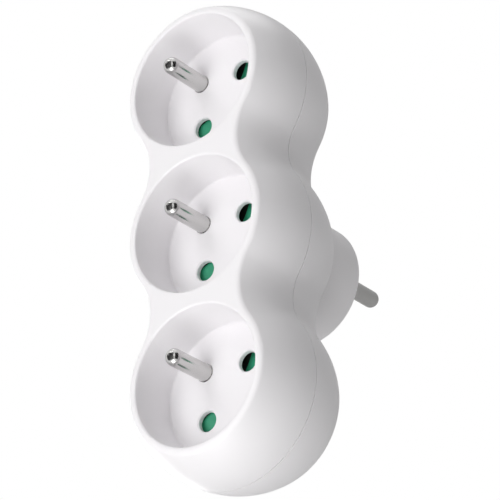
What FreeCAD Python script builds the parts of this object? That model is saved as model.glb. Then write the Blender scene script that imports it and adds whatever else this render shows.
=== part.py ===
import FreeCAD, Part
import Sketcher
import math
import os
import re

# Triple wall adapter: three shuttered, earthed outlets in one moulded housing on one plug
# The frame's origin is the middle of the plug face, X is right seen from the front, Z is up
# Depths count backwards (+Y) from the flat front face

SIZES = {
    # Housing outline: three round lobes joined by concave waists
    "socket_spacing": 43.6,
    "lobe_front_radius": 21.2,
    "lobe_mid_radius": 26.2,
    "lobe_rear_radius": 19.2,
    "waist_front_radius": 17.3,
    "seam_depth": 17.4,
    "body_depth": 37.6,
    "front_edge_round": 1.8,
    "rear_edge_round": 4.5,
    "seam_groove": 0.3,
    "side_wall": 2.2,
    "front_wall": 2.4,
    "rear_wall": 2.2,
    "tongue_length": 1.5,
    "tongue_wall": 1.0,
    "tongue_play": 0.07,
    "tongue_root": 1.6,
    # Recess cups of the three outlets
    "recess_radius": 18.9,
    "recess_depth": 14.1,
    "recess_wall": 1.6,
    "recess_floor": 1.6,
    "recess_draft": 0.5,
    "mouth_round": 0.6,
    "recess_foot_round": 0.5,
    "socket_turn": 45,
    "contact_pitch": 19,
    "contact_hole_radius": 2.85,
    "hole_chamfer": 0.35,
    # Pins of the outlets and of the plug
    "pin_radius": 2.4,
    "earth_shank_radius": 2.6,
    "plug_shank_radius": 2.8,
    "earth_offset": 10,
    "earth_pin_reach": 15.4,
    "pin_collar_radius": 3.2,
    "rivet_radius": 1.6,
    "rivet_head_radius": 2.3,
    "rivet_head_height": 0.5,
    "plug_pin_length": 19,
    # Rotary shutters
    "post_radius": 1.5,
    "pivot_play": 0.05,
    "hub_radius": 3.2,
    "hub_end_play": 0.1,
    "spring_pocket_radius": 2.6,
    "spring_pocket_depth": 1.9,
    "shutter_room": 3.9,
    "arm_reach": 12.8,
    "arm_half_angle": 21,
    "arm_front_gap": 1.1,
    "arm_rear_gap": 0.3,
    "ramp_rise": 2,
    "open_angle": 42,
    "stop_radius": 0.8,
    "stop_offset": 11,
    "stop_play": 1,
    # Return springs
    "spring_mean_radius": 2.1,
    "wire_radius": 0.16,
    "spring_pitch": 0.45,
    "spring_turns": 2.75,
    "leg_hole_radius": 0.28,
    # Contact plate and conductors
    "plate_thickness": 1.2,
    "plate_half_width": 16.2,
    "plate_half_length": 58.6,
    "plate_corner_round": 4,
    "plate_hole_radius": 2.7,
    "bar_thickness": 1,
    "sleeve_outer_radius": 3.1,
    "sleeve_bore_radius": 2.45,
    "sleeve_length": 11.2,
    "sleeve_chamfer": 0.3,
    "slit_width": 0.5,
    "slit_length": 8,
    "earth_strip_inner": 13,
    "earth_strip_width": 3,
    "earth_tab_half_width": 2.2,
    "line_strip_half_width": 1.6,
    "eyelet_radius": 4.4,
    "pin_eyelet_radius": 3.4,
    # Plug drum and its fittings
    "drum_radius": 17.8,
    "drum_length": 15,
    "drum_edge_round": 1.3,
    "drum_wall": 2.2,
    "drum_end_wall": 3,
    "pin_boss_radius": 4.2,
    "pin_boss_length": 6,
    "plug_hole_radius": 2.6,
    "earth_seat_radius": 4.4,
    "earth_seat_length": 3.6,
    "earth_tube_radius": 3.2,
    "earth_tube_length": 13.6,
    "earth_bore_depth": 12.4,
    "earth_tail_radius": 1.5,
    # Housing screws
    "screw_radius": 1.5,
    "screw_play": 0.1,
    "screw_length": 24,
    "screw_head_radius": 2.6,
    "screw_head_height": 2,
    "screw_seat_depth": 4.6,
    "screw_tip_room": 0.5,
    "counterbore_radius": 2.9,
    "front_boss_radius": 3,
    "front_boss_start": 2,
    "rear_boss_radius": 3.9,
    "cross_length": 3.2,
    "cross_width": 0.7,
    "cross_depth": 1,
}

doc = FreeCAD.newDocument("triple_wall_adapter")
sheet = doc.addObject("Spreadsheet::Sheet", "Sizes")
for row, (alias, size) in enumerate(SIZES.items(), start=1):
    sheet.set("A%d" % row, alias)
    sheet.set("B%d" % row, str(size))
    sheet.setAlias("B%d" % row, alias)
doc.recompute()

# Places and sizes worked out from the sheet, each named once and written out where it is used
FORMULAS = {
    "centre_distance": "lobe_front_radius + waist_front_radius",
    "waist_z": "socket_spacing / 2",
    "waist_x": "sqrt(centre_distance^2 - waist_z^2)",
    "front_bulge": "lobe_mid_radius - lobe_front_radius",
    "front_arc": "(seam_depth^2 + front_bulge^2) / (2 * front_bulge)",
    "front_arc_centre": "lobe_mid_radius - front_arc",
    "rear_depth": "body_depth - seam_depth",
    "rear_taper": "lobe_mid_radius - lobe_rear_radius",
    "rear_arc": "(rear_depth^2 + rear_taper^2) / (2 * rear_taper)",
    "rear_arc_centre": "lobe_mid_radius - rear_arc",
    "front_edge_arc": "front_arc - front_edge_round",
    "front_edge_rise": "seam_depth - front_edge_round",
    "front_face_radius": "front_arc_centre + sqrt(front_edge_arc^2 - front_edge_rise^2)",
    "front_edge_share": "front_arc / front_edge_arc",
    "plug_depth": "body_depth + drum_length",
    "floor_rear": "recess_depth + recess_floor",
    "plate_front": "floor_rear + shutter_room",
    "plate_rear": "plate_front + plate_thickness",
    "earth_bar_rear": "plate_rear + bar_thickness",
    "sleeve_rear": "plate_rear + sleeve_length",
    "line_bar_front": "sleeve_rear - bar_thickness",
    "drum_inner_end": "plug_depth - drum_end_wall",
    "tongue_start": "seam_depth - tongue_length",
    "tongue_end": "seam_depth + tongue_root",
    "inner_front_arc": "front_arc - side_wall",
    "tongue_radius": "front_arc_centre + sqrt(inner_front_arc^2 - tongue_length^2) - tongue_play",
    "contact_x": "contact_pitch / 2 * cos(socket_turn)",
    "contact_z": "contact_pitch / 2 * sin(socket_turn)",
    "earth_x": "-earth_offset * sin(socket_turn)",
    "earth_z": "earth_offset * cos(socket_turn)",
    "stop_half_angle": "2 * asin(stop_radius / (2 * stop_offset)) / 1deg",
    "rest_stop_angle": "socket_turn + arm_half_angle + stop_half_angle + stop_play",
    "open_stop_angle": "socket_turn - arm_half_angle - open_angle - stop_half_angle - stop_play",
    "arm_front": "floor_rear + arm_front_gap",
    "arm_rear": "plate_front - arm_rear_gap",
    "ramp_foot": "arm_front + ramp_rise",
    "ramp_half": "contact_pitch / 2 * sin(arm_half_angle)",
    "arm_span": "arm_reach * sin(arm_half_angle) + 0.5",
    "hub_front": "floor_rear + hub_end_play",
    "hub_rear": "plate_front - hub_end_play",
    "pocket_front": "hub_rear - spring_pocket_depth",
    "spring_front": "pocket_front + wire_radius + 0.15",
    "pin_tip": "plug_depth + plug_pin_length",
    "tube_front": "drum_inner_end - earth_tube_length",
    "screw_seat": "body_depth - screw_seat_depth",
    "screw_head_rear": "screw_seat + screw_head_height",
}
SOCKETS = {"top": "socket_spacing", "middle": "0", "bottom": "(-socket_spacing)"}
SPACES = {"upper": "waist_z", "lower": "(-waist_z)"}


# Size texts

def full(text):
    """Writes out the formulas named in the text and adds the sheet's name to every size."""
    def write_out(hit):
        name = hit.group()
        if name in FORMULAS:
            return "(%s)" % full(FORMULAS[name])
        if name in SIZES:
            return "Sizes." + name
        return name
    return re.sub(r"[a-z]+(?:_[a-z]+)*", write_out, str(text))


def number(text):
    return float(sheet.evalExpression(full(text)))


def bind(thing, field, text):
    if str(text) == "0":
        return
    thing.setExpression(field, full(text))


def place(thing, across, depth, height):
    """Puts an object at a depth behind the front face, in the frame of the plug face."""
    bind(thing, "Placement.Base.x", across)
    bind(thing, "Placement.Base.y", "(%s) - plug_depth" % depth)
    bind(thing, "Placement.Base.z", height)
    return thing


# Sketches with every corner and radius bound to the sheet

def arc_between(start, end, radius, side):
    """Short arc whose centre is left (+1) or right (-1) of the way from start to end."""
    chord = end - start
    rise = math.sqrt(max(radius ** 2 - (chord.Length / 2) ** 2, 0))
    left = FreeCAD.Vector(-chord.y, chord.x, 0).normalize()
    centre = (start + end) * 0.5 + left * rise * side
    first, last = (start, end) if side > 0 else (end, start)
    angles = [math.atan2(p.y - centre.y, p.x - centre.x) for p in (first, last)]
    return Part.ArcOfCircle(Part.Circle(centre, FreeCAD.Vector(0, 0, 1), radius), angles[0], angles[1])


def sketch(name, corners):
    """Closed outline; a corner is (x, y) or (x, y, radius, side) where an arc leaves it."""
    outline = doc.addObject("Sketcher::SketchObject", name)
    points = [FreeCAD.Vector(number(c[0]), number(c[1]), 0) for c in corners]
    heads = []
    tails = []
    for i, corner in enumerate(corners):
        start = points[i]
        end = points[(i + 1) % len(points)]
        if len(corner) == 4:
            outline.addGeometry(arc_between(start, end, number(corner[2]), corner[3]))
        else:
            outline.addGeometry(Part.LineSegment(start, end))
        turned_round = len(corner) == 4 and corner[3] < 0
        heads.append(2 if turned_round else 1)
        tails.append(1 if turned_round else 2)
    for i in range(len(corners)):
        j = (i + 1) % len(corners)
        outline.addConstraint(Sketcher.Constraint("Coincident", i, tails[i], j, heads[j]))
    for i, corner in enumerate(corners):
        if str(corner[0]) == "0":
            outline.addConstraint(Sketcher.Constraint("PointOnObject", i, heads[i], -2))
        else:
            k = outline.addConstraint(Sketcher.Constraint("DistanceX", -1, 1, i, heads[i], points[i].x))
            outline.setExpression("Constraints[%d]" % k, full(corner[0]))
        if str(corner[1]) == "0":
            outline.addConstraint(Sketcher.Constraint("PointOnObject", i, heads[i], -1))
        else:
            k = outline.addConstraint(Sketcher.Constraint("DistanceY", -1, 1, i, heads[i], points[i].y))
            outline.setExpression("Constraints[%d]" % k, full(corner[1]))
        if len(corner) == 4:
            k = outline.addConstraint(Sketcher.Constraint("Radius", i, number(corner[2])))
            outline.setExpression("Constraints[%d]" % k, full(corner[2]))
    return outline


# Solids from sketches and primitives

def turned(name, outline, across="0", height="0"):
    """Revolves a profile of radius and depth about a line along Y."""
    solid = doc.addObject("Part::Revolution", name)
    solid.Source = outline
    solid.Axis = FreeCAD.Vector(0, 1, 0)
    solid.Base = FreeCAD.Vector(0, 0, 0)
    solid.Angle = 360
    solid.Solid = True
    return place(solid, across, "0", height)


def prism(name, outline, depth, length, across="0", height="0"):
    """Extrudes an outline drawn in X and Z backwards from a depth."""
    solid = doc.addObject("Part::Extrusion", name)
    solid.Base = outline
    solid.DirMode = "Custom"
    solid.Dir = FreeCAD.Vector(0, 0, -1)
    solid.Solid = True
    bind(solid, "LengthFwd", length)
    solid.Placement = FreeCAD.Placement(FreeCAD.Vector(), FreeCAD.Rotation(FreeCAD.Vector(1, 0, 0), 90))
    return place(solid, across, depth, height)


def rod(name, radius, start, end, across="0", height="0"):
    """Cylinder along Y between two depths."""
    solid = doc.addObject("Part::Cylinder", name)
    bind(solid, "Radius", radius)
    bind(solid, "Height", "(%s) - (%s)" % (end, start))
    solid.Placement = FreeCAD.Placement(FreeCAD.Vector(), FreeCAD.Rotation(FreeCAD.Vector(1, 0, 0), -90))
    return place(solid, across, start, height)


def block(name, x_from, x_to, start, end, z_from, z_to):
    solid = doc.addObject("Part::Box", name)
    bind(solid, "Length", "(%s) - (%s)" % (x_to, x_from))
    bind(solid, "Width", "(%s) - (%s)" % (end, start))
    bind(solid, "Height", "(%s) - (%s)" % (z_to, z_from))
    return place(solid, x_from, start, z_from)


def fuse(name, solids):
    joined = doc.addObject("Part::MultiFuse", name)
    joined.Shapes = solids
    joined.Refine = True
    return joined


def cut(name, base, tools):
    """Takes one or more tools away from a base."""
    result = doc.addObject("Part::Cut", name)
    result.Base = base
    if len(tools) > 1:
        result.Tool = fuse(name + "_tools", tools)
    else:
        result.Tool = tools[0]
    result.Refine = True
    return result


def common(name, first, second):
    shared = doc.addObject("Part::Common", name)
    shared.Base = first
    shared.Tool = second
    return shared


# The moulded wavy form: three turned lobes and two waist blocks
# A waist's radius and the lobe's radius add up to one length at every depth, so they stay tangent

def side_radius_at(arc, depth, inset="0"):
    """Lobe radius at a depth on the front arc or the rear arc, which meet smoothly at the seam."""
    return "(%s_centre + sqrt((%s - (%s))^2 - ((%s) - seam_depth)^2))" % (arc, arc, inset, depth)


def wavy(name, rows):
    """Rows are (radius, depth) or (radius, depth, arc radius) from the front to the back."""
    start = rows[0][1]
    end = rows[-1][1]
    lobe = [("0", start)]
    waist = [("0", "(%s) - 3" % start), ("centre_distance - (%s)" % rows[0][0], "(%s) - 3" % start)]
    for r in rows:
        arc = (r[2], 1) if len(r) == 3 else ()
        back_arc = (r[2], -1) if len(r) == 3 else ()
        lobe.append((r[0], r[1]) + arc)
        waist.append(("centre_distance - (%s)" % r[0], r[1]) + back_arc)
    lobe.append(("0", end))
    waist.append(("centre_distance - (%s)" % rows[-1][0], "(%s) + 3" % end))
    waist.append(("0", "(%s) + 3" % end))
    lobe_profile = sketch(name + "_lobe_profile", lobe)
    waist_profile = sketch(name + "_waist_profile", waist)
    diamond = sketch(name + "_diamond", [
        ("0", "0"), ("waist_x", "waist_z"), ("0", "socket_spacing"), ("-waist_x", "waist_z")])
    solids = []
    for place_name, height in SOCKETS.items():
        solids.append(turned("%s_lobe_%s" % (name, place_name), lobe_profile, "0", height))
    for level, foot, middle in (("upper", "0", "waist_z"), ("lower", "(-socket_spacing)", "(-waist_z)")):
        tag = "%s_waist_%s" % (name, level)
        web = prism(tag + "_web", diamond, start, "(%s) - (%s)" % (end, start), "0", foot)
        right = turned(tag + "_right", waist_profile, "waist_x", middle)
        left = turned(tag + "_left", waist_profile, "-waist_x", middle)
        solids.append(cut(tag, web, [right, left]))
    return fuse(name, solids)


FRONT_TANGENT = ("front_arc_centre + front_edge_share * (front_face_radius - front_arc_centre)",
                 "seam_depth + front_edge_share * (front_edge_round - seam_depth)")


def rear_edge(inset, rear):
    """Radius at the rear face and tangent point of the rear edge rounding."""
    radius = "(rear_arc - (%s))" % inset
    edge = "(rear_edge_round - (%s))" % inset
    level = "((%s) - %s - seam_depth)" % (rear, edge)
    face_x = "(rear_arc_centre + sqrt((%s - %s)^2 - %s^2))" % (radius, edge, level)
    share = "(%s / (%s - %s))" % (radius, radius, edge)
    tangent = ("(rear_arc_centre + %s * (%s - rear_arc_centre))" % (share, face_x),
               "(seam_depth + %s * %s)" % (share, level))
    return face_x, edge, tangent


# Front shell: wavy moulding with three recess cups, pivot posts, shutter stops and screw bosses

front_outer = wavy("front_outer", [
    ("front_face_radius", "0", "front_edge_round"),
    FRONT_TANGENT + ("front_arc",),
    ("lobe_mid_radius", "seam_depth")])
front_inner = wavy("front_inner", [
    (side_radius_at("front_arc", "front_wall", "side_wall"), "front_wall", "inner_front_arc"),
    ("lobe_mid_radius - side_wall", "seam_depth")])
front_hollow = cut("front_hollow", front_outer, [front_inner])

recess_profile = sketch("recess_profile", [
    ("0", "-1"),
    ("recess_radius + recess_draft + mouth_round", "-1"),
    ("recess_radius + recess_draft + mouth_round", "0", "mouth_round", -1),
    ("recess_radius + recess_draft", "mouth_round"),
    ("recess_radius", "recess_depth - recess_foot_round", "recess_foot_round", 1),
    ("recess_radius - recess_foot_round", "recess_depth"),
    ("0", "recess_depth")])
contact_hole_profile = sketch("contact_hole_profile", [
    ("0", "recess_depth - 1"),
    ("contact_hole_radius + hole_chamfer", "recess_depth - 1"),
    ("contact_hole_radius + hole_chamfer", "recess_depth"),
    ("contact_hole_radius", "recess_depth + hole_chamfer"),
    ("contact_hole_radius", "floor_rear + 1"),
    ("0", "floor_rear + 1")])


def around(offset, angle):
    """Place at a distance and angle from an outlet's centre, counter-clockwise seen from the front."""
    return "((%s) * cos(%s))" % (offset, angle), "((%s) * sin(%s))" % (offset, angle)


front_adds = [front_hollow]
front_cuts = []
for spot, level in SOCKETS.items():
    cup_radius = "recess_radius + recess_wall"
    front_adds.append(rod("cup_" + spot, cup_radius, "1", "floor_rear", "0", level))
    front_adds.append(rod("post_" + spot, "post_radius", "floor_rear - 0.5", "plate_front", "0", level))
    for stop_name, angle in (("rest", "(rest_stop_angle + 180)"), ("open", "open_stop_angle")):
        stop_x, stop_z = around("stop_offset", angle)
        front_adds.append(rod(
            "stop_%s_%s" % (stop_name, spot), "stop_radius", "floor_rear - 0.5",
            "plate_front - 0.3", stop_x, "%s + %s" % (level, stop_z)))
    front_cuts.append(turned("recess_" + spot, recess_profile, "0", level))
    front_cuts.append(turned(
        "hole_right_" + spot, contact_hole_profile, "contact_x", "%s + contact_z" % level))
    front_cuts.append(turned(
        "hole_left_" + spot, contact_hole_profile, "-contact_x", "%s - contact_z" % level))
    front_cuts.append(rod(
        "earth_hole_" + spot, "earth_shank_radius", "recess_depth - 1", "floor_rear + 1",
        "earth_x", "%s + earth_z" % level))
for side, level in SPACES.items():
    front_adds.append(rod(
        "front_boss_" + side, "front_boss_radius", "front_boss_start", "plate_front", "0", level))
    front_cuts.append(rod(
        "screw_core_" + side, "screw_radius", "screw_seat - screw_length - screw_tip_room",
        "plate_front + 1", "0", level))
front_solid = fuse("front_solid", front_adds)
front_shell = cut("front_shell", front_solid, front_cuts)


# Rear shell: wavy moulding with a locating tongue and the hollow plug drum

REAR_OUTER = rear_edge("0", "body_depth")
REAR_INNER = rear_edge("rear_wall", "body_depth - rear_wall")
rear_outer = wavy("rear_outer", [
    ("lobe_mid_radius - seam_groove", "seam_depth"),
    ("lobe_mid_radius - seam_groove", "seam_depth + seam_groove"),
    (side_radius_at("rear_arc", "seam_depth + seam_groove"), "seam_depth + seam_groove", "rear_arc"),
    REAR_OUTER[2] + (REAR_OUTER[1],),
    (REAR_OUTER[0], "body_depth")])
rear_inner = wavy("rear_inner", [
    ("lobe_mid_radius - rear_wall", "seam_depth", "rear_arc - rear_wall"),
    REAR_INNER[2] + (REAR_INNER[1],),
    (REAR_INNER[0], "body_depth - rear_wall")])
rear_hollow = cut("rear_hollow", rear_outer, [rear_inner])

tongue_outer = wavy("tongue_outer", [
    ("tongue_radius", "tongue_start"),
    ("tongue_radius", "seam_depth"),
    ("lobe_mid_radius - side_wall / 2", "seam_depth"),
    ("lobe_mid_radius - side_wall / 2", "tongue_end")])
tongue_inner = wavy("tongue_inner", [
    ("tongue_radius - tongue_wall", "tongue_start - 0.5"),
    ("tongue_radius - tongue_wall", "tongue_end + 0.5")])
tongue = cut("tongue", tongue_outer, [tongue_inner])

drum_profile = sketch("drum_profile", [
    ("0", "body_depth - rear_wall"),
    ("drum_radius", "body_depth - rear_wall"),
    ("drum_radius", "plug_depth - drum_edge_round", "drum_edge_round", 1),
    ("drum_radius - drum_edge_round", "plug_depth"),
    ("0", "plug_depth")])
drum_form = turned("drum_form", drum_profile)
rear_block = fuse("rear_block", [rear_hollow, tongue, drum_form])
drum_bore = rod("drum_bore", "drum_radius - drum_wall", "body_depth - rear_wall - 1", "drum_inner_end")
rear_cupped = cut("rear_cupped", rear_block, [drum_bore])

rear_adds = [rear_cupped]
rear_cuts = []
for side, across in (("right", "contact_pitch / 2"), ("left", "(-contact_pitch / 2)")):
    rear_adds.append(rod(
        "pin_boss_" + side, "pin_boss_radius", "drum_inner_end - pin_boss_length",
        "drum_inner_end + 0.5", across))
    rear_cuts.append(rod(
        "pin_bore_" + side, "plug_shank_radius", "drum_inner_end - pin_boss_length - 1",
        "plug_depth + 1", across))
rear_adds.append(rod(
    "earth_seat", "earth_seat_radius", "drum_inner_end - earth_seat_length",
    "drum_inner_end + 0.5", "0", "earth_offset"))
rear_cuts.append(rod(
    "earth_seat_bore", "earth_tube_radius", "drum_inner_end - earth_seat_length - 1",
    "drum_inner_end", "0", "earth_offset"))
plug_hole_profile = sketch("plug_hole_profile", [
    ("0", "drum_inner_end - 1"),
    ("plug_hole_radius", "drum_inner_end - 1"),
    ("plug_hole_radius", "plug_depth - hole_chamfer"),
    ("plug_hole_radius + hole_chamfer", "plug_depth"),
    ("plug_hole_radius + hole_chamfer", "plug_depth + 1"),
    ("0", "plug_depth + 1")])
rear_cuts.append(turned("plug_earth_hole", plug_hole_profile, "0", "earth_offset"))
for side, level in SPACES.items():
    rear_adds.append(rod(
        "rear_boss_" + side, "rear_boss_radius", "plate_rear", "body_depth - 1", "0", level))
    rear_cuts.append(rod(
        "screw_hole_" + side, "screw_radius + screw_play", "plate_rear - 1", "body_depth + 1", "0", level))
    rear_cuts.append(rod(
        "counterbore_" + side, "counterbore_radius", "screw_seat", "body_depth + 1", "0", level))
rear_solid = fuse("rear_solid", rear_adds)
rear_shell = cut("rear_shell", rear_solid, rear_cuts)


# Rotary shutters: a hub on the pivot post and two ramped arms that cover the contact holes
# A ramp is high on its clockwise side, so two pins pushed in together turn the shutter clockwise

ramp_profile = sketch("ramp_profile", [
    ("-arm_span", "ramp_foot"),
    ("-ramp_half", "ramp_foot"),
    ("ramp_half", "arm_front"),
    ("arm_span", "arm_front"),
    ("arm_span", "arm_rear"),
    ("-arm_span", "arm_rear")])
hub_bore_profile = sketch("hub_bore_profile", [
    ("0", "hub_front - 1"),
    ("post_radius + pivot_play", "hub_front - 1"),
    ("post_radius + pivot_play", "pocket_front"),
    ("spring_pocket_radius", "pocket_front"),
    ("spring_pocket_radius", "hub_rear + 1"),
    ("0", "hub_rear + 1")])


def ramped_arm(name, level, angle):
    """One arm: a sector of a disc shared with a ramped bar along the arm's direction."""
    bar = doc.addObject("Part::Extrusion", name + "_bar")
    bar.Base = ramp_profile
    bar.DirMode = "Custom"
    bar.Dir = FreeCAD.Vector(0, 0, 1)
    bar.Solid = True
    bind(bar, "LengthFwd", "arm_reach + 1")
    bar.Placement = FreeCAD.Placement(FreeCAD.Vector(), FreeCAD.Rotation(FreeCAD.Vector(0, 1, 0), 90))
    bar.setExpression("Placement.Rotation.Angle", full("90 - (%s)" % angle))
    place(bar, "0", "0", level)
    sector = rod(name + "_sector", "arm_reach", "arm_front - 1", "arm_rear + 1", "0", level)
    bind(sector, "Angle", "2 * arm_half_angle")
    turn = FreeCAD.Rotation(FreeCAD.Vector(0, 1, 0), -number("(%s) + arm_half_angle" % angle))
    sector.Placement = FreeCAD.Placement(
        sector.Placement.Base, turn.multiply(FreeCAD.Rotation(FreeCAD.Vector(1, 0, 0), -90)))
    return common(name, sector, bar)


def shutter(spot, level):
    name = "shutter_" + spot
    hub = rod(name + "_hub", "hub_radius", "hub_front", "hub_rear", "0", level)
    upper = ramped_arm(name + "_arm_one", level, "socket_turn")
    lower = ramped_arm(name + "_arm_two", level, "(socket_turn + 180)")
    body = fuse(name + "_body", [hub, upper, lower])
    bore = turned(name + "_bore", hub_bore_profile, "0", level)
    notch = block(
        name + "_leg_notch", "spring_mean_radius", "hub_radius + 1", "spring_front - leg_hole_radius",
        "spring_front + leg_hole_radius", "%s - leg_hole_radius" % level, "%s + leg_hole_radius" % level)
    return cut(name, body, [bore, notch])


shutters = [shutter(spot, level) for spot, level in SOCKETS.items()]


# Return springs: a wire coil round each post, one leg in the hub and one in the contact plate

coil_line = doc.addObject("Part::Helix", "coil_line")
bind(coil_line, "Radius", "spring_mean_radius")
bind(coil_line, "Pitch", "spring_pitch")
bind(coil_line, "Height", "spring_pitch * spring_turns")
wire_section = doc.addObject("Part::Circle", "wire_section")
bind(wire_section, "Radius", "wire_radius")
wire_section.Placement = FreeCAD.Placement(FreeCAD.Vector(), FreeCAD.Rotation(FreeCAD.Vector(1, 0, 0), 90))
bind(wire_section, "Placement.Base.x", "spring_mean_radius")
doc.recompute()


def spring(spot, level):
    name = "shutter_spring_" + spot
    coil = doc.addObject("Part::Sweep", name + "_coil")
    coil.Sections = [wire_section]
    coil.Spine = (coil_line, [])
    coil.Solid = True
    coil.Frenet = True
    coil.Placement = FreeCAD.Placement(FreeCAD.Vector(), FreeCAD.Rotation(FreeCAD.Vector(1, 0, 0), -90))
    place(coil, "0", "spring_front", level)
    leg = doc.addObject("Part::Cylinder", name + "_hub_leg")
    bind(leg, "Radius", "wire_radius")
    bind(leg, "Height", "hub_radius - spring_mean_radius")
    leg.Placement = FreeCAD.Placement(FreeCAD.Vector(), FreeCAD.Rotation(FreeCAD.Vector(0, 1, 0), 90))
    place(leg, "spring_mean_radius", "spring_front", level)
    coil_end = "spring_front + spring_pitch * spring_turns"
    tail = rod(
        name + "_plate_leg", "wire_radius", coil_end, "plate_front + plate_thickness / 2",
        "0", "%s + spring_mean_radius" % level)
    return fuse(name, [coil, leg, tail])


springs = [spring(spot, level) for spot, level in SOCKETS.items()]


# Contact plate: flat insulating sheet that closes the shutter rooms

plate_outline = sketch("plate_outline", [
    ("-plate_half_width + plate_corner_round", "-plate_half_length"),
    ("plate_half_width - plate_corner_round", "-plate_half_length", "plate_corner_round", 1),
    ("plate_half_width", "-plate_half_length + plate_corner_round"),
    ("plate_half_width", "plate_half_length - plate_corner_round", "plate_corner_round", 1),
    ("plate_half_width - plate_corner_round", "plate_half_length"),
    ("-plate_half_width + plate_corner_round", "plate_half_length", "plate_corner_round", 1),
    ("-plate_half_width", "plate_half_length - plate_corner_round"),
    ("-plate_half_width", "-plate_half_length + plate_corner_round", "plate_corner_round", 1)])
plate_blank = prism("plate_blank", plate_outline, "plate_front", "plate_thickness")
plate_cuts = []
for spot, level in SOCKETS.items():
    for side, sign in (("right", "+"), ("left", "-")):
        across = "contact_x" if sign == "+" else "-contact_x"
        plate_cuts.append(rod(
            "plate_hole_%s_%s" % (side, spot), "plate_hole_radius", "plate_front - 1",
            "plate_rear + 1", across, "%s %s contact_z" % (level, sign)))
    plate_cuts.append(rod(
        "plate_earth_hole_" + spot, "rivet_radius", "plate_front - 1", "plate_rear + 1",
        "earth_x", "%s + earth_z" % level))
    plate_cuts.append(rod(
        "plate_leg_hole_" + spot, "leg_hole_radius", "plate_front - 1", "plate_rear + 1",
        "0", "%s + spring_mean_radius" % level))
for side, level in SPACES.items():
    plate_cuts.append(rod(
        "plate_screw_hole_" + side, "screw_radius + screw_play", "plate_front - 1",
        "plate_rear + 1", "0", level))
contact_plate = cut("contact_plate", plate_blank, plate_cuts)


# Earth pins: turned pins clamped between the recess floor and the contact plate, riveted to the bar

earth_pin_profile = sketch("earth_pin_profile", [
    ("0", "recess_depth - earth_pin_reach", "pin_radius", 1),
    ("pin_radius", "recess_depth - earth_pin_reach + pin_radius"),
    ("pin_radius", "recess_depth"),
    ("earth_shank_radius", "recess_depth"),
    ("earth_shank_radius", "floor_rear"),
    ("pin_collar_radius", "floor_rear"),
    ("pin_collar_radius", "plate_front"),
    ("rivet_radius", "plate_front"),
    ("rivet_radius", "earth_bar_rear"),
    ("rivet_head_radius", "earth_bar_rear"),
    ("rivet_head_radius", "earth_bar_rear + rivet_head_height"),
    ("0", "earth_bar_rear + rivet_head_height")])
earth_pins = [
    turned("earth_pin_" + spot, earth_pin_profile, "earth_x", "%s + earth_z" % level)
    for spot, level in SOCKETS.items()]


# Earth bar: stamped strip down one side with a tab to each earth pin and one to the plug's earth socket

earth_parts = [block(
    "earth_strip", "-earth_strip_inner - earth_strip_width", "-earth_strip_inner",
    "plate_rear", "earth_bar_rear", "-socket_spacing + earth_z - earth_tab_half_width",
    "socket_spacing + earth_z + earth_tab_half_width")]
earth_cuts = []
for spot, level in SOCKETS.items():
    tab_level = "%s + earth_z" % level
    earth_parts.append(block(
        "earth_tab_" + spot, "-earth_strip_inner - 1", "earth_x + earth_tab_half_width",
        "plate_rear", "earth_bar_rear", "%s - earth_tab_half_width" % tab_level,
        "%s + earth_tab_half_width" % tab_level))
    earth_parts.append(rod(
        "earth_tab_end_" + spot, "rivet_head_radius + 0.7", "plate_rear", "earth_bar_rear",
        "earth_x", tab_level))
    earth_cuts.append(rod(
        "earth_rivet_hole_" + spot, "rivet_radius", "plate_rear - 1", "earth_bar_rear + 1",
        "earth_x", tab_level))
earth_parts.append(block(
    "earth_plug_tab", "earth_x", "0.001", "plate_rear", "earth_bar_rear",
    "earth_offset - earth_tab_half_width", "earth_offset + earth_tab_half_width"))
earth_parts.append(rod(
    "earth_plug_tab_end", "earth_tab_half_width", "plate_rear", "earth_bar_rear", "0", "earth_offset"))
earth_cuts.append(rod(
    "earth_tail_hole", "earth_tail_radius", "plate_rear - 1", "earth_bar_rear + 1", "0", "earth_offset"))
earth_blank = fuse("earth_blank", earth_parts)
earth_bar = cut("earth_bar", earth_blank, earth_cuts)


# Contact sleeves: slit tubes behind the contact holes, pressed into the two line bars

sleeve_profile = sketch("sleeve_profile", [
    ("sleeve_bore_radius + sleeve_chamfer", "plate_rear"),
    ("sleeve_outer_radius", "plate_rear"),
    ("sleeve_outer_radius", "sleeve_rear"),
    ("sleeve_bore_radius", "sleeve_rear"),
    ("sleeve_bore_radius", "plate_rear + sleeve_chamfer")])


def sleeve(side, spot, across, height):
    name = "%s_sleeve_%s" % (side, spot)
    tube = turned(name + "_tube", sleeve_profile, across, height)
    slit = block(
        name + "_slit", "%s - slit_width / 2" % across, "%s + slit_width / 2" % across,
        "plate_rear - 1", "plate_rear + slit_length",
        "%s - sleeve_outer_radius - 1" % height, "%s + sleeve_outer_radius + 1" % height)
    return cut(name, tube, [slit])


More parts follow.
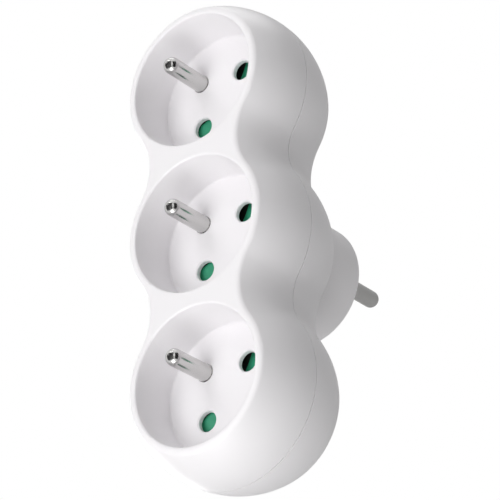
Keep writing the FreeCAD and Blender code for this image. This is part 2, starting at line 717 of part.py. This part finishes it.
def line_bar(side, sign):
    """Strip with an eyelet round each sleeve and one for the plug pin on its side."""
    across = "contact_x" if sign == "+" else "-contact_x"
    pin_across = "%s contact_pitch / 2" % ("0 +" if sign == "+" else "0 -")
    start, end = "line_bar_front", "sleeve_rear"
    parts = [block(
        side + "_strip", "%s - line_strip_half_width" % across, "%s + line_strip_half_width" % across,
        start, end, "-socket_spacing %s contact_z" % sign, "socket_spacing %s contact_z" % sign)]
    cuts = []
    for spot, level in SOCKETS.items():
        height = "%s %s contact_z" % (level, sign)
        parts.append(rod("%s_eyelet_%s" % (side, spot), "eyelet_radius", start, end, across, height))
        cuts.append(rod(
            "%s_sleeve_hole_%s" % (side, spot), "sleeve_outer_radius", "%s - 1" % start, "%s + 1" % end,
            across, height))
    parts.append(rod(side + "_pin_eyelet", "pin_eyelet_radius", start, end, pin_across))
    cuts.append(rod(side + "_pin_hole", "rivet_radius", "%s - 1" % start, "%s + 1" % end, pin_across))
    return cut(side + "_bar", fuse(side + "_bar_blank", parts), cuts)


sleeves = []
for spot, level in SOCKETS.items():
    sleeves.append(sleeve("right", spot, "contact_x", "%s + contact_z" % level))
    sleeves.append(sleeve("left", spot, "-contact_x", "%s - contact_z" % level))
bars = [line_bar("right", "+"), line_bar("left", "-")]


# Plug pins: turned pins through the drum, riveted to the line bars

plug_pin_profile = sketch("plug_pin_profile", [
    ("0", "line_bar_front - rivet_head_height"),
    ("rivet_head_radius", "line_bar_front - rivet_head_height"),
    ("rivet_head_radius", "line_bar_front"),
    ("rivet_radius", "line_bar_front"),
    ("rivet_radius", "sleeve_rear"),
    ("plug_shank_radius", "sleeve_rear"),
    ("plug_shank_radius", "plug_depth"),
    ("pin_radius", "plug_depth"),
    ("pin_radius", "pin_tip - pin_radius", "pin_radius", 1),
    ("0", "pin_tip")])
plug_pins = [
    turned("plug_pin_right", plug_pin_profile, "contact_pitch / 2"),
    turned("plug_pin_left", plug_pin_profile, "(-contact_pitch / 2)")]


# Plug earth socket: a turned tube behind the hole in the plug face with a tail to the earth bar

earth_socket_profile = sketch("earth_socket_profile", [
    ("0", "plate_rear"),
    ("earth_tail_radius", "plate_rear"),
    ("earth_tail_radius", "tube_front"),
    ("earth_tube_radius", "tube_front"),
    ("earth_tube_radius", "drum_inner_end"),
    ("sleeve_bore_radius", "drum_inner_end"),
    ("sleeve_bore_radius", "drum_inner_end - earth_bore_depth"),
    ("0", "drum_inner_end - earth_bore_depth")])
earth_socket_tube = turned("earth_socket_tube", earth_socket_profile, "0", "earth_offset")
earth_socket_slit = block(
    "earth_socket_slit", "-slit_width / 2", "slit_width / 2", "drum_inner_end - slit_length",
    "drum_inner_end + 1", "earth_offset - earth_tube_radius - 1", "earth_offset + earth_tube_radius + 1")
plug_earth_socket = cut("plug_earth_socket", earth_socket_tube, [earth_socket_slit])


# Housing screws: two recessed cross-head screws between the outlets

screw_profile = sketch("screw_profile", [
    ("0", "screw_seat - screw_length"),
    ("screw_radius - 0.5", "screw_seat - screw_length"),
    ("screw_radius", "screw_seat - screw_length + 1"),
    ("screw_radius", "screw_seat"),
    ("screw_head_radius", "screw_seat"),
    ("screw_head_radius", "screw_head_rear - 0.5"),
    ("screw_head_radius - 0.5", "screw_head_rear"),
    ("0", "screw_head_rear")])
screws = []
for side, level in SPACES.items():
    blank = turned("screw_blank_" + side, screw_profile, "0", level)
    tall = block(
        "cross_tall_" + side, "-cross_width / 2", "cross_width / 2", "screw_head_rear - cross_depth",
        "screw_head_rear + 1", "%s - cross_length / 2" % level, "%s + cross_length / 2" % level)
    wide = block(
        "cross_wide_" + side, "-cross_length / 2", "cross_length / 2", "screw_head_rear - cross_depth",
        "screw_head_rear + 1", "%s - cross_width / 2" % level, "%s + cross_width / 2" % level)
    screws.append(cut("screw_" + side, blank, [tall, wide]))
housing_screws = doc.addObject("Part::Compound", "housing_screws")
housing_screws.Links = screws


# Check every object and write the pieces

doc.recompute()
pieces = [front_shell, rear_shell] + shutters + springs + [contact_plate] + earth_pins + [earth_bar]
pieces += sleeves + bars + plug_pins + [plug_earth_socket, housing_screws]
for item in doc.Objects:
    if "Invalid" in item.State or "Error" in item.State:
        raise RuntimeError("object %s did not compute" % item.Name)
os.makedirs("parts", exist_ok=True)
for piece in pieces:
    piece.Label = piece.Name
    if piece.Shape.isNull() or not piece.Shape.isValid():
        raise RuntimeError("piece %s has no valid shape" % piece.Name)
    piece.Shape.exportStep("parts/%s.step" % piece.Name)
    print(piece.Name, len(piece.Shape.Solids), round(piece.Shape.Volume, 1))
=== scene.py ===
import math

import bmesh
import bpy
from mathutils import Euler, Matrix, Vector


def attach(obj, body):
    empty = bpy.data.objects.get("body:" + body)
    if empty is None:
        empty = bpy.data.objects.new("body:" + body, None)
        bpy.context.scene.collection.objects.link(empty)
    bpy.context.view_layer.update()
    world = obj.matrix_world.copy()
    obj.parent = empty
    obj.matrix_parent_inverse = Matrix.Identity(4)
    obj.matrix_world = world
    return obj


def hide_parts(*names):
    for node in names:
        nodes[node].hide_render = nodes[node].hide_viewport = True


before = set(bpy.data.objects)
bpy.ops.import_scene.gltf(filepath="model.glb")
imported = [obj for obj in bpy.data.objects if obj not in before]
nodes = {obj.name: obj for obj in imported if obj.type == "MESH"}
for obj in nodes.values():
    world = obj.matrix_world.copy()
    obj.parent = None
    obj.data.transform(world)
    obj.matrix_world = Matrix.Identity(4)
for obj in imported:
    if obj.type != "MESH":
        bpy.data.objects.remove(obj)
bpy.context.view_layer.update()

# Housing shells. Two injection-moulded halves in white ABS, a front with three recess cups and a
# rear with the plug drum, spark-textured in the mould to a fine satin and held by two screws.


def linear(hex_code):
    """Turns an sRGB hex colour into the linear colour that a shader takes."""
    parts = [int(hex_code[i:i + 2], 16) / 255 for i in (1, 3, 5)]
    return [p / 12.92 if p <= 0.04045 else ((p + 0.055) / 1.055) ** 2.4 for p in parts] + [1.0]


def node(tree, kind, settings=None, links=None):
    """Adds one node, sets its sockets and fields, and links its inputs to other nodes' outputs."""
    made = tree.nodes.new(kind)
    for name, value in (settings or {}).items():
        if isinstance(name, str) and hasattr(made, name):
            setattr(made, name, value)
        else:
            made.inputs[name].default_value = value
    for name, source in (links or {}).items():
        tree.links.new(source, made.inputs[name])
    return made


def empty_material(name):
    """Makes a material without nodes and gives it with its node tree."""
    made = bpy.data.materials.new(name)
    made.use_nodes = True
    made.node_tree.nodes.clear()
    return made, made.node_tree


def piece_place(tree):
    """Coordinates in metres that stay with the piece."""
    return node(tree, "ShaderNodeTexCoord").outputs["Object"]


def noise(tree, place, settings):
    """A noise pattern's value from 0 to 1."""
    return node(tree, "ShaderNodeTexNoise", settings, {"Vector": place}).outputs["Fac"]


def shade_between(tree, low, high, share):
    """Colour between two sRGB shades, by a pattern's value."""
    mix = node(tree, "ShaderNodeMix", {"data_type": "RGBA", 6: linear(low), 7: linear(high)}, {0: share})
    return mix.outputs[2]


def rough_between(tree, low, high, share):
    """Roughness between two limits, by a pattern's value."""
    spread = node(tree, "ShaderNodeMapRange", {"To Min": low, "To Max": high}, {"Value": share})
    return spread.outputs["Result"]


def relief(tree, strength, distance, height):
    """Surface direction over a fine relief, its distance in metres."""
    bump = node(tree, "ShaderNodeBump", {"Strength": strength, "Distance": distance}, {"Height": height})
    return bump.outputs["Normal"]


def skin(tree, settings, links):
    """Adds the surface shader with its sockets and sends it to the output."""
    made = node(tree, "ShaderNodeBsdfPrincipled", settings, links)
    node(tree, "ShaderNodeOutputMaterial", None, {"Surface": made.outputs["BSDF"]})


def dress(names, material):
    """Gives nodes of the frame one material in place of their own."""
    for name in names:
        nodes[name].data.materials.clear()
        nodes[name].data.materials.append(material)


white_abs, tree = empty_material("white_moulded_abs")
place = piece_place(tree)
# Moulded ABS keeps a faint flow shade, about 30 mm across, that only shows as a breath of warmth
flow = noise(tree, place, {"Scale": 33.0, "Detail": 2.0, "Roughness": 0.5})
# The spark texture is about 0.1 mm, drawn at 0.35 mm so that the render can show its softness
grain = noise(tree, place, {"Scale": 2900.0, "Detail": 3.0, "Roughness": 0.6})
skin(tree, {"IOR": 1.53}, {
    "Base Color": shade_between(tree, "#F3F1F3", "#F6F4F6", flow),
    "Roughness": rough_between(tree, 0.3, 0.42, grain),
    "Normal": relief(tree, 0.12, 0.00004, grain)})
dress(("front_shell", "rear_shell"), white_abs)

# Shutters. Rotary child-safety shutters moulded in green acetal, a hub on the cup's post with two
# ramped arms behind the contact holes. Polished moulds leave them smoother than the housing.

green_acetal, tree = empty_material("green_moulded_acetal")
# Flow shade of the moulding, about 8 mm across
flow = noise(tree, piece_place(tree), {"Scale": 120.0, "Detail": 2.0})
skin(tree, {"IOR": 1.48, "Roughness": 0.32}, {
    "Base Color": shade_between(tree, "#3FB288", "#4ABD94", flow),
    "Normal": relief(tree, 0.05, 0.00002, flow)})
dress(("shutter_top", "shutter_middle", "shutter_bottom"), green_acetal)

# Pins. Brass turned on a lathe and nickel-plated bright, with round tips: an earth pin in each cup,
# clamped behind its floor, and two plug pins riveted to the line bars.

nickel, tree = empty_material("nickel_plated_brass")
# Turning marks run round the pin, so the pattern is stretched across Y: about 0.15 mm between marks
along = node(tree, "ShaderNodeMapping", {"Scale": (40.0, 6600.0, 40.0)}, {"Vector": piece_place(tree)})
marks = noise(tree, along.outputs["Vector"], {"Scale": 1.0, "Detail": 2.0})
skin(tree, {"Base Color": linear("#C7C6C5"), "Metallic": 1.0}, {
    "Roughness": rough_between(tree, 0.14, 0.24, marks),
    "Normal": relief(tree, 0.05, 0.00002, marks)})
dress(("earth_pin_top", "earth_pin_middle", "earth_pin_bottom", "plug_pin_right", "plug_pin_left"), nickel)

# Conductors. Bars stamped from sheet brass and slit sleeves rolled from spring brass, left bare, so
# they keep a rolled grain and the slight brown of handled brass.

brass, tree = empty_material("bare_sheet_brass")
place = piece_place(tree)
# Rolling lines along Z, 0.3 mm apart
along = node(tree, "ShaderNodeMapping", {"Scale": (3300.0, 3300.0, 30.0)}, {"Vector": place})
lines = noise(tree, along.outputs["Vector"], {"Scale": 1.0, "Detail": 3.0})
# Tarnish in clouds about 6 mm across
tarnish = noise(tree, place, {"Scale": 160.0, "Detail": 4.0})
skin(tree, {"Metallic": 1.0}, {
    "Base Color": shade_between(tree, "#D9BE78", "#B9924C", tarnish),
    "Roughness": rough_between(tree, 0.25, 0.45, lines)})
dress(("earth_bar", "right_bar", "left_bar", "plug_earth_socket"), brass)
for side in ("right", "left"):
    dress([side + "_sleeve_" + spot for spot in ("top", "middle", "bottom")], brass)

# Contact plate. A sheet of dark grey phenolic paper laminate, punched with its holes and clamped
# between the screw bosses. The punched sheet is matt with a faint paper fibre.

laminate, tree = empty_material("phenolic_paper_laminate")
# Paper fibre, about 1 mm
fibre = noise(tree, piece_place(tree), {"Scale": 900.0, "Detail": 5.0})
skin(tree, {"IOR": 1.5, "Roughness": 0.6}, {"Base Color": shade_between(tree, "#2C2A2A", "#3A3734", fibre)})
dress(("contact_plate",), laminate)

# Return springs. Coiled from drawn steel wire and zinc-plated, one leg in the shutter's hub and one in
# the contact plate.

steel, tree = empty_material("zinc_plated_steel")
# Zinc bloom in spots about 1.5 mm across
bloom = noise(tree, piece_place(tree), {"Scale": 700.0, "Detail": 3.0})
skin(tree, {"Base Color": linear("#A9ABAE"), "Metallic": 1.0}, {
    "Roughness": rough_between(tree, 0.28, 0.5, bloom)})
dress(("shutter_spring_top", "shutter_spring_middle", "shutter_spring_bottom"), steel)

# Housing screws. Two pan-head thread-forming screws of zinc-plated steel, cold-headed with a cross
# recess, that pull the two shells together from the bottom of their counterbores.

SCREW_LEVELS = (("upper", 0.0218), ("lower", -0.0218))
SCREW_SEAT_Y = -0.0196
SCREW_LENGTH = 0.024
HEAD_RADIUS = 0.0026
HEAD_HEIGHT = 0.002
# Share of the head's radius, and drop below its top
HEAD_DOME = ((0, 0), (0.45, 0.00003), (0.75, 0.00022), (0.93, 0.00062), (1, 0.00115))
HEAD_EDGE = 0.00012
CROSS_DEPTH = 0.0014
CROSS_PAST_TOP = 0.0003
# Reach from the axis and half width of an arm, at the foot of the cross and past the head's top
CROSS_FOOT = (0.0006, 0.0002)
CROSS_MOUTH = (0.0016, 0.00036)
CORE_RADIUS = 0.00112
NECK_LENGTH = 0.0004
TIP_LENGTH = 0.001
TIP_SHARE = 0.6
THREAD_RADIUS = 0.0015
THREAD_PITCH = 0.00115
THREAD_TURNS = 17
THREAD_TOP_DROP = 0.0016
THREAD_ROOT_SINK = 0.0001
THREAD_FLANK = 0.24
THREAD_CREST_HALF = 0.00003
HEAD_STEPS = 48
THREAD_STEPS = 24
SHARP_ANGLE = math.radians(35)


def mesh_piece(name, bm, material):
    """Makes an object with one material and smooth faces from a bmesh."""
    mesh = bpy.data.meshes.new(name)
    bm.to_mesh(mesh)
    bm.free()
    mesh.shade_smooth()
    mesh.set_sharp_from_angle(angle=SHARP_ANGLE)
    mesh.materials.append(material)
    made = bpy.data.objects.new(name, mesh)
    bpy.context.scene.collection.objects.link(made)
    return made


def spin_profile(bm, profile, centre, steps):
    """Spins an open profile of radius and Y, with both ends on the axis, into a closed turned solid."""
    points = [bm.verts.new((centre[0] + radius, y, centre[2])) for radius, y in profile]
    edges = [bm.edges.new(pair) for pair in zip(points, points[1:])]
    bmesh.ops.spin(
        bm, geom=points + edges, cent=centre, axis=(0, 1, 0), angle=math.tau, steps=steps, use_merge=True)
    bmesh.ops.remove_doubles(bm, verts=bm.verts, dist=1e-7)
    bmesh.ops.recalc_face_normals(bm, faces=bm.faces)


def screw_blank(level):
    """Head with a domed top and a short radius under it, shank, and a blunt tip."""
    seat = SCREW_SEAT_Y
    top = seat + HEAD_HEIGHT
    tip = seat - SCREW_LENGTH
    dome = [(HEAD_RADIUS * share, top - drop) for share, drop in HEAD_DOME]
    underside = [(HEAD_RADIUS, seat + HEAD_EDGE), (HEAD_RADIUS - HEAD_EDGE, seat)]
    neck = [(THREAD_RADIUS, seat), (CORE_RADIUS, seat - NECK_LENGTH)]
    point = [(CORE_RADIUS, tip + TIP_LENGTH), (CORE_RADIUS * TIP_SHARE, tip), (0, tip)]
    bm = bmesh.new()
    spin_profile(bm, dome + underside + neck + point, (0, 0, level), HEAD_STEPS)
    return mesh_piece("screw_blank", bm, steel)


def cross_bit(level):
    """Tapered cross, the shape of the driver's tip, that is pressed into the head."""
    top = SCREW_SEAT_Y + HEAD_HEIGHT
    bm = bmesh.new()
    rims = []
    for y, (reach, half) in ((top - CROSS_DEPTH, CROSS_FOOT), (top + CROSS_PAST_TOP, CROSS_MOUTH)):
        quarter = [Vector((reach, -half)), Vector((reach, half)), Vector((half, half))]
        turns = [Matrix.Rotation(math.radians(90 * turn), 2) for turn in range(4)]
        corners = [turn @ corner for turn in turns for corner in quarter]
        rim = [bm.verts.new((c.x, y, level + c.y)) for c in corners]
        rims += [bm.edges.new((rim[i - 1], rim[i])) for i in range(len(rim))]
        bm.faces.new(rim)
    bmesh.ops.bridge_loops(bm, edges=rims)
    bmesh.ops.recalc_face_normals(bm, faces=bm.faces)
    return mesh_piece("cross_bit", bm, steel)


def pressed_head(level):
    """Mesh of the blank with the cross cut out of its head."""
    blank = screw_blank(level)
    bit = cross_bit(level)
    press = blank.modifiers.new("cross_recess", "BOOLEAN")
    press.object = bit
    press.solver = "EXACT"
    bpy.context.view_layer.update()
    headed = bpy.data.meshes.new_from_object(blank.evaluated_get(bpy.context.evaluated_depsgraph_get()))
    bpy.data.objects.remove(blank)
    bpy.data.objects.remove(bit)
    return headed


def thread_ridge(bm, level):
    """One V-shaped ridge wound round the shank, closed at both ends."""
    foot = CORE_RADIUS - THREAD_ROOT_SINK
    start = SCREW_SEAT_Y - THREAD_TOP_DROP - THREAD_PITCH * THREAD_TURNS
    half = THREAD_PITCH * THREAD_FLANK
    corners = [
        (foot, start - half), (THREAD_RADIUS, start - THREAD_CREST_HALF),
        (THREAD_RADIUS, start + THREAD_CREST_HALF), (foot, start + half)]
    section = bm.faces.new([bm.verts.new((radius, y, level)) for radius, y in corners])
    wound = bmesh.ops.spin(
        bm, geom=list(section.edges), cent=(0, 0, level), axis=(0, 1, 0), angle=math.tau * THREAD_TURNS,
        steps=THREAD_STEPS * THREAD_TURNS, dvec=(0, THREAD_PITCH / THREAD_STEPS, 0))
    last = [e for e in wound["geom_last"] if isinstance(e, bmesh.types.BMEdge)]
    bmesh.ops.contextual_create(bm, geom=last)


for side, level in SCREW_LEVELS:
    bm = bmesh.new()
    bm.from_mesh(pressed_head(level))
    thread_ridge(bm, level)
    bmesh.ops.recalc_face_normals(bm, faces=bm.faces)
    screw = mesh_piece("housing_screw_" + side, bm, steel)
    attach(screw, "housing")
    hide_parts("housing_screws")

# Floor. A plain pale studio floor below the camera, because the photograph looks up at the adapter.
# The camera and bright metal see it as pale as the backdrop; it bounces light as painted board does.

FLOOR_LEVEL = -1.6
FLOOR_HALF = 30.0
FLOOR_GLOW_SHARE = 0.96


def either(tree, one, other):
    """1 where either of two ray tests is 1."""
    return node(tree, "ShaderNodeMath", {"operation": "MAXIMUM"}, {0: one, 1: other}).outputs[0]


pale, tree = empty_material("pale_studio_floor")
path = node(tree, "ShaderNodeLightPath")
board = node(tree, "ShaderNodeBsdfPrincipled", {"Base Color": linear("#EDEDEC"), "Roughness": 0.9})
glow = node(tree, "ShaderNodeEmission", {"Color": linear("#FDFDFD"), "Strength": 1.0})
seen = either(tree, path.outputs["Is Camera Ray"], path.outputs["Is Glossy Ray"])
share = node(tree, "ShaderNodeMath", {"operation": "MULTIPLY", 1: FLOOR_GLOW_SHARE}, {0: seen})
surface = node(
    tree, "ShaderNodeMixShader", None,
    {0: share.outputs[0], 1: board.outputs["BSDF"], 2: glow.outputs["Emission"]})
node(tree, "ShaderNodeOutputMaterial", None, {"Surface": surface.outputs["Shader"]})
bm = bmesh.new()
floor_place = Matrix.Translation((0, 0, FLOOR_LEVEL))
bmesh.ops.create_grid(bm, x_segments=1, y_segments=1, size=FLOOR_HALF, matrix=floor_place)
mesh_piece("studio_floor", bm, pale)

# World. White for the camera and in reflections, as the photograph's backdrop is, and a softer even
# light on the object, so that its own shading shows.

WHITE = (1.0, 1.0, 1.0, 1.0)
AIR_STRENGTH = 0.27

world = bpy.data.worlds.new("studio_air")
bpy.context.scene.world = world
world.use_nodes = True
tree = world.node_tree
tree.nodes.clear()
path = node(tree, "ShaderNodeLightPath")
straight = either(tree, path.outputs["Is Camera Ray"], path.outputs["Is Transmission Ray"])
seen = either(tree, straight, path.outputs["Is Glossy Ray"])
air = node(tree, "ShaderNodeBackground", {"Color": WHITE, "Strength": AIR_STRENGTH})
white = node(tree, "ShaderNodeBackground", {"Color": WHITE, "Strength": 1.0})
choice = node(
    tree, "ShaderNodeMixShader", None,
    {0: seen, 1: air.outputs["Background"], 2: white.outputs["Background"]})
node(tree, "ShaderNodeOutputWorld", None, {"Surface": choice.outputs["Shader"]})

# Lamps. Soft boxes all round: the strongest in front, a little left and low, as the pins' shadows
# show, with low ones for the light that the undersides catch and two behind for the plug's side.
# The one at the back right stays out of reflections, so that the plug pins keep an even grey.

# Middle of the housing
LAMP_AIM = Vector((0, -0.03, 0))
# Name, place, width, power in watts, and whether reflections show it
LAMPS = (
    ("front_box", (-0.1, -1.4, -0.5), 0.9, 9.7, True),
    ("front_high_box", (-0.2, -1.2, 0.9), 0.8, 5.3, True),
    ("front_right_box", (0.8, -1.2, 0.1), 0.8, 1.0, True),
    ("low_box", (-0.05, -0.4, -1.3), 0.8, 5.1, True),
    ("low_front_box", (0.15, -1.0, -1.1), 0.8, 2.8, True),
    ("high_box", (-0.05, 0.2, 1.3), 0.8, 3.5, True),
    ("back_left_box", (-1.2, 1.0, 0.2), 0.8, 6.0, True),
    ("back_right_box", (0.7, 1.35, 0.3), 0.8, 3.4, False))
for name, place, width, power, mirrored in LAMPS:
    lamp = bpy.data.lights.new(name, "AREA")
    lamp.size = width
    lamp.energy = power
    holder = bpy.data.objects.new(name, lamp)
    holder.location = place
    holder.visible_glossy = mirrored
    holder.rotation_euler = (LAMP_AIM - Vector(place)).to_track_quat("-Z", "Y").to_euler()
    bpy.context.scene.collection.objects.link(holder)

# Flags. Cards that a studio stands round bright metal: two black ones beside the camera, so that the
# earth pins' round tips show dark between the lights, and a grey one behind that the plug pins
# mirror. They are seen in reflections only and throw no shadow.


def card_board(name, hex_code):
    """Matt painted board in one shade."""
    board, tree = empty_material(name)
    skin(tree, {"Base Color": linear(hex_code), "Roughness": 0.9}, None)
    return board


black_card = card_board("black_studio_card", "#141414")
grey_card = card_board("grey_studio_card", "#C8C8C8")
# Name, X and Y of the near and the far edge, half height, and board
FLAGS = (
    ("left_flag", (0.43, -0.9), (-1.9, -0.9), 0.9, black_card),
    ("right_flag", (0.77, -0.9), (1.3, 0.3), 0.9, black_card),
    ("back_card", (-1.0, 1.0), (1.7, 0.7), 1.5, grey_card))
for name, near, far, half_height, board in FLAGS:
    bm = bmesh.new()
    feet = [bm.verts.new((x, y, -half_height)) for x, y in (near, far)]
    rise = bmesh.ops.extrude_edge_only(bm, edges=[bm.edges.new(feet)])
    tops = [v for v in rise["geom"] if isinstance(v, bmesh.types.BMVert)]
    bmesh.ops.translate(bm, verts=tops, vec=(0, 0, 2 * half_height))
    card = mesh_piece(name, bm, board)
    card.visible_camera = False
    card.visible_diffuse = False
    card.visible_transmission = False
    card.visible_shadow = False

# Camera. A long lens at the lower right of the front, its place, turn and focal length fitted to the
# recess mouths, contact holes and pins in the photograph.

lens = bpy.data.cameras.new("photo_camera")
lens.lens = 189.605
lens.sensor_width = 36.0
lens.clip_start = 0.01
lens.clip_end = 20.0
camera = bpy.data.objects.new("photo_camera", lens)
camera.location = (0.37829, -0.54374, -0.31254)
camera.rotation_euler = Euler([math.radians(a) for a in (116.14, 1.126, 36.758)], "XYZ")
bpy.context.scene.collection.objects.link(camera)
bpy.context.scene.camera = camera
bpy.context.scene.view_settings.view_transform = "Standard"
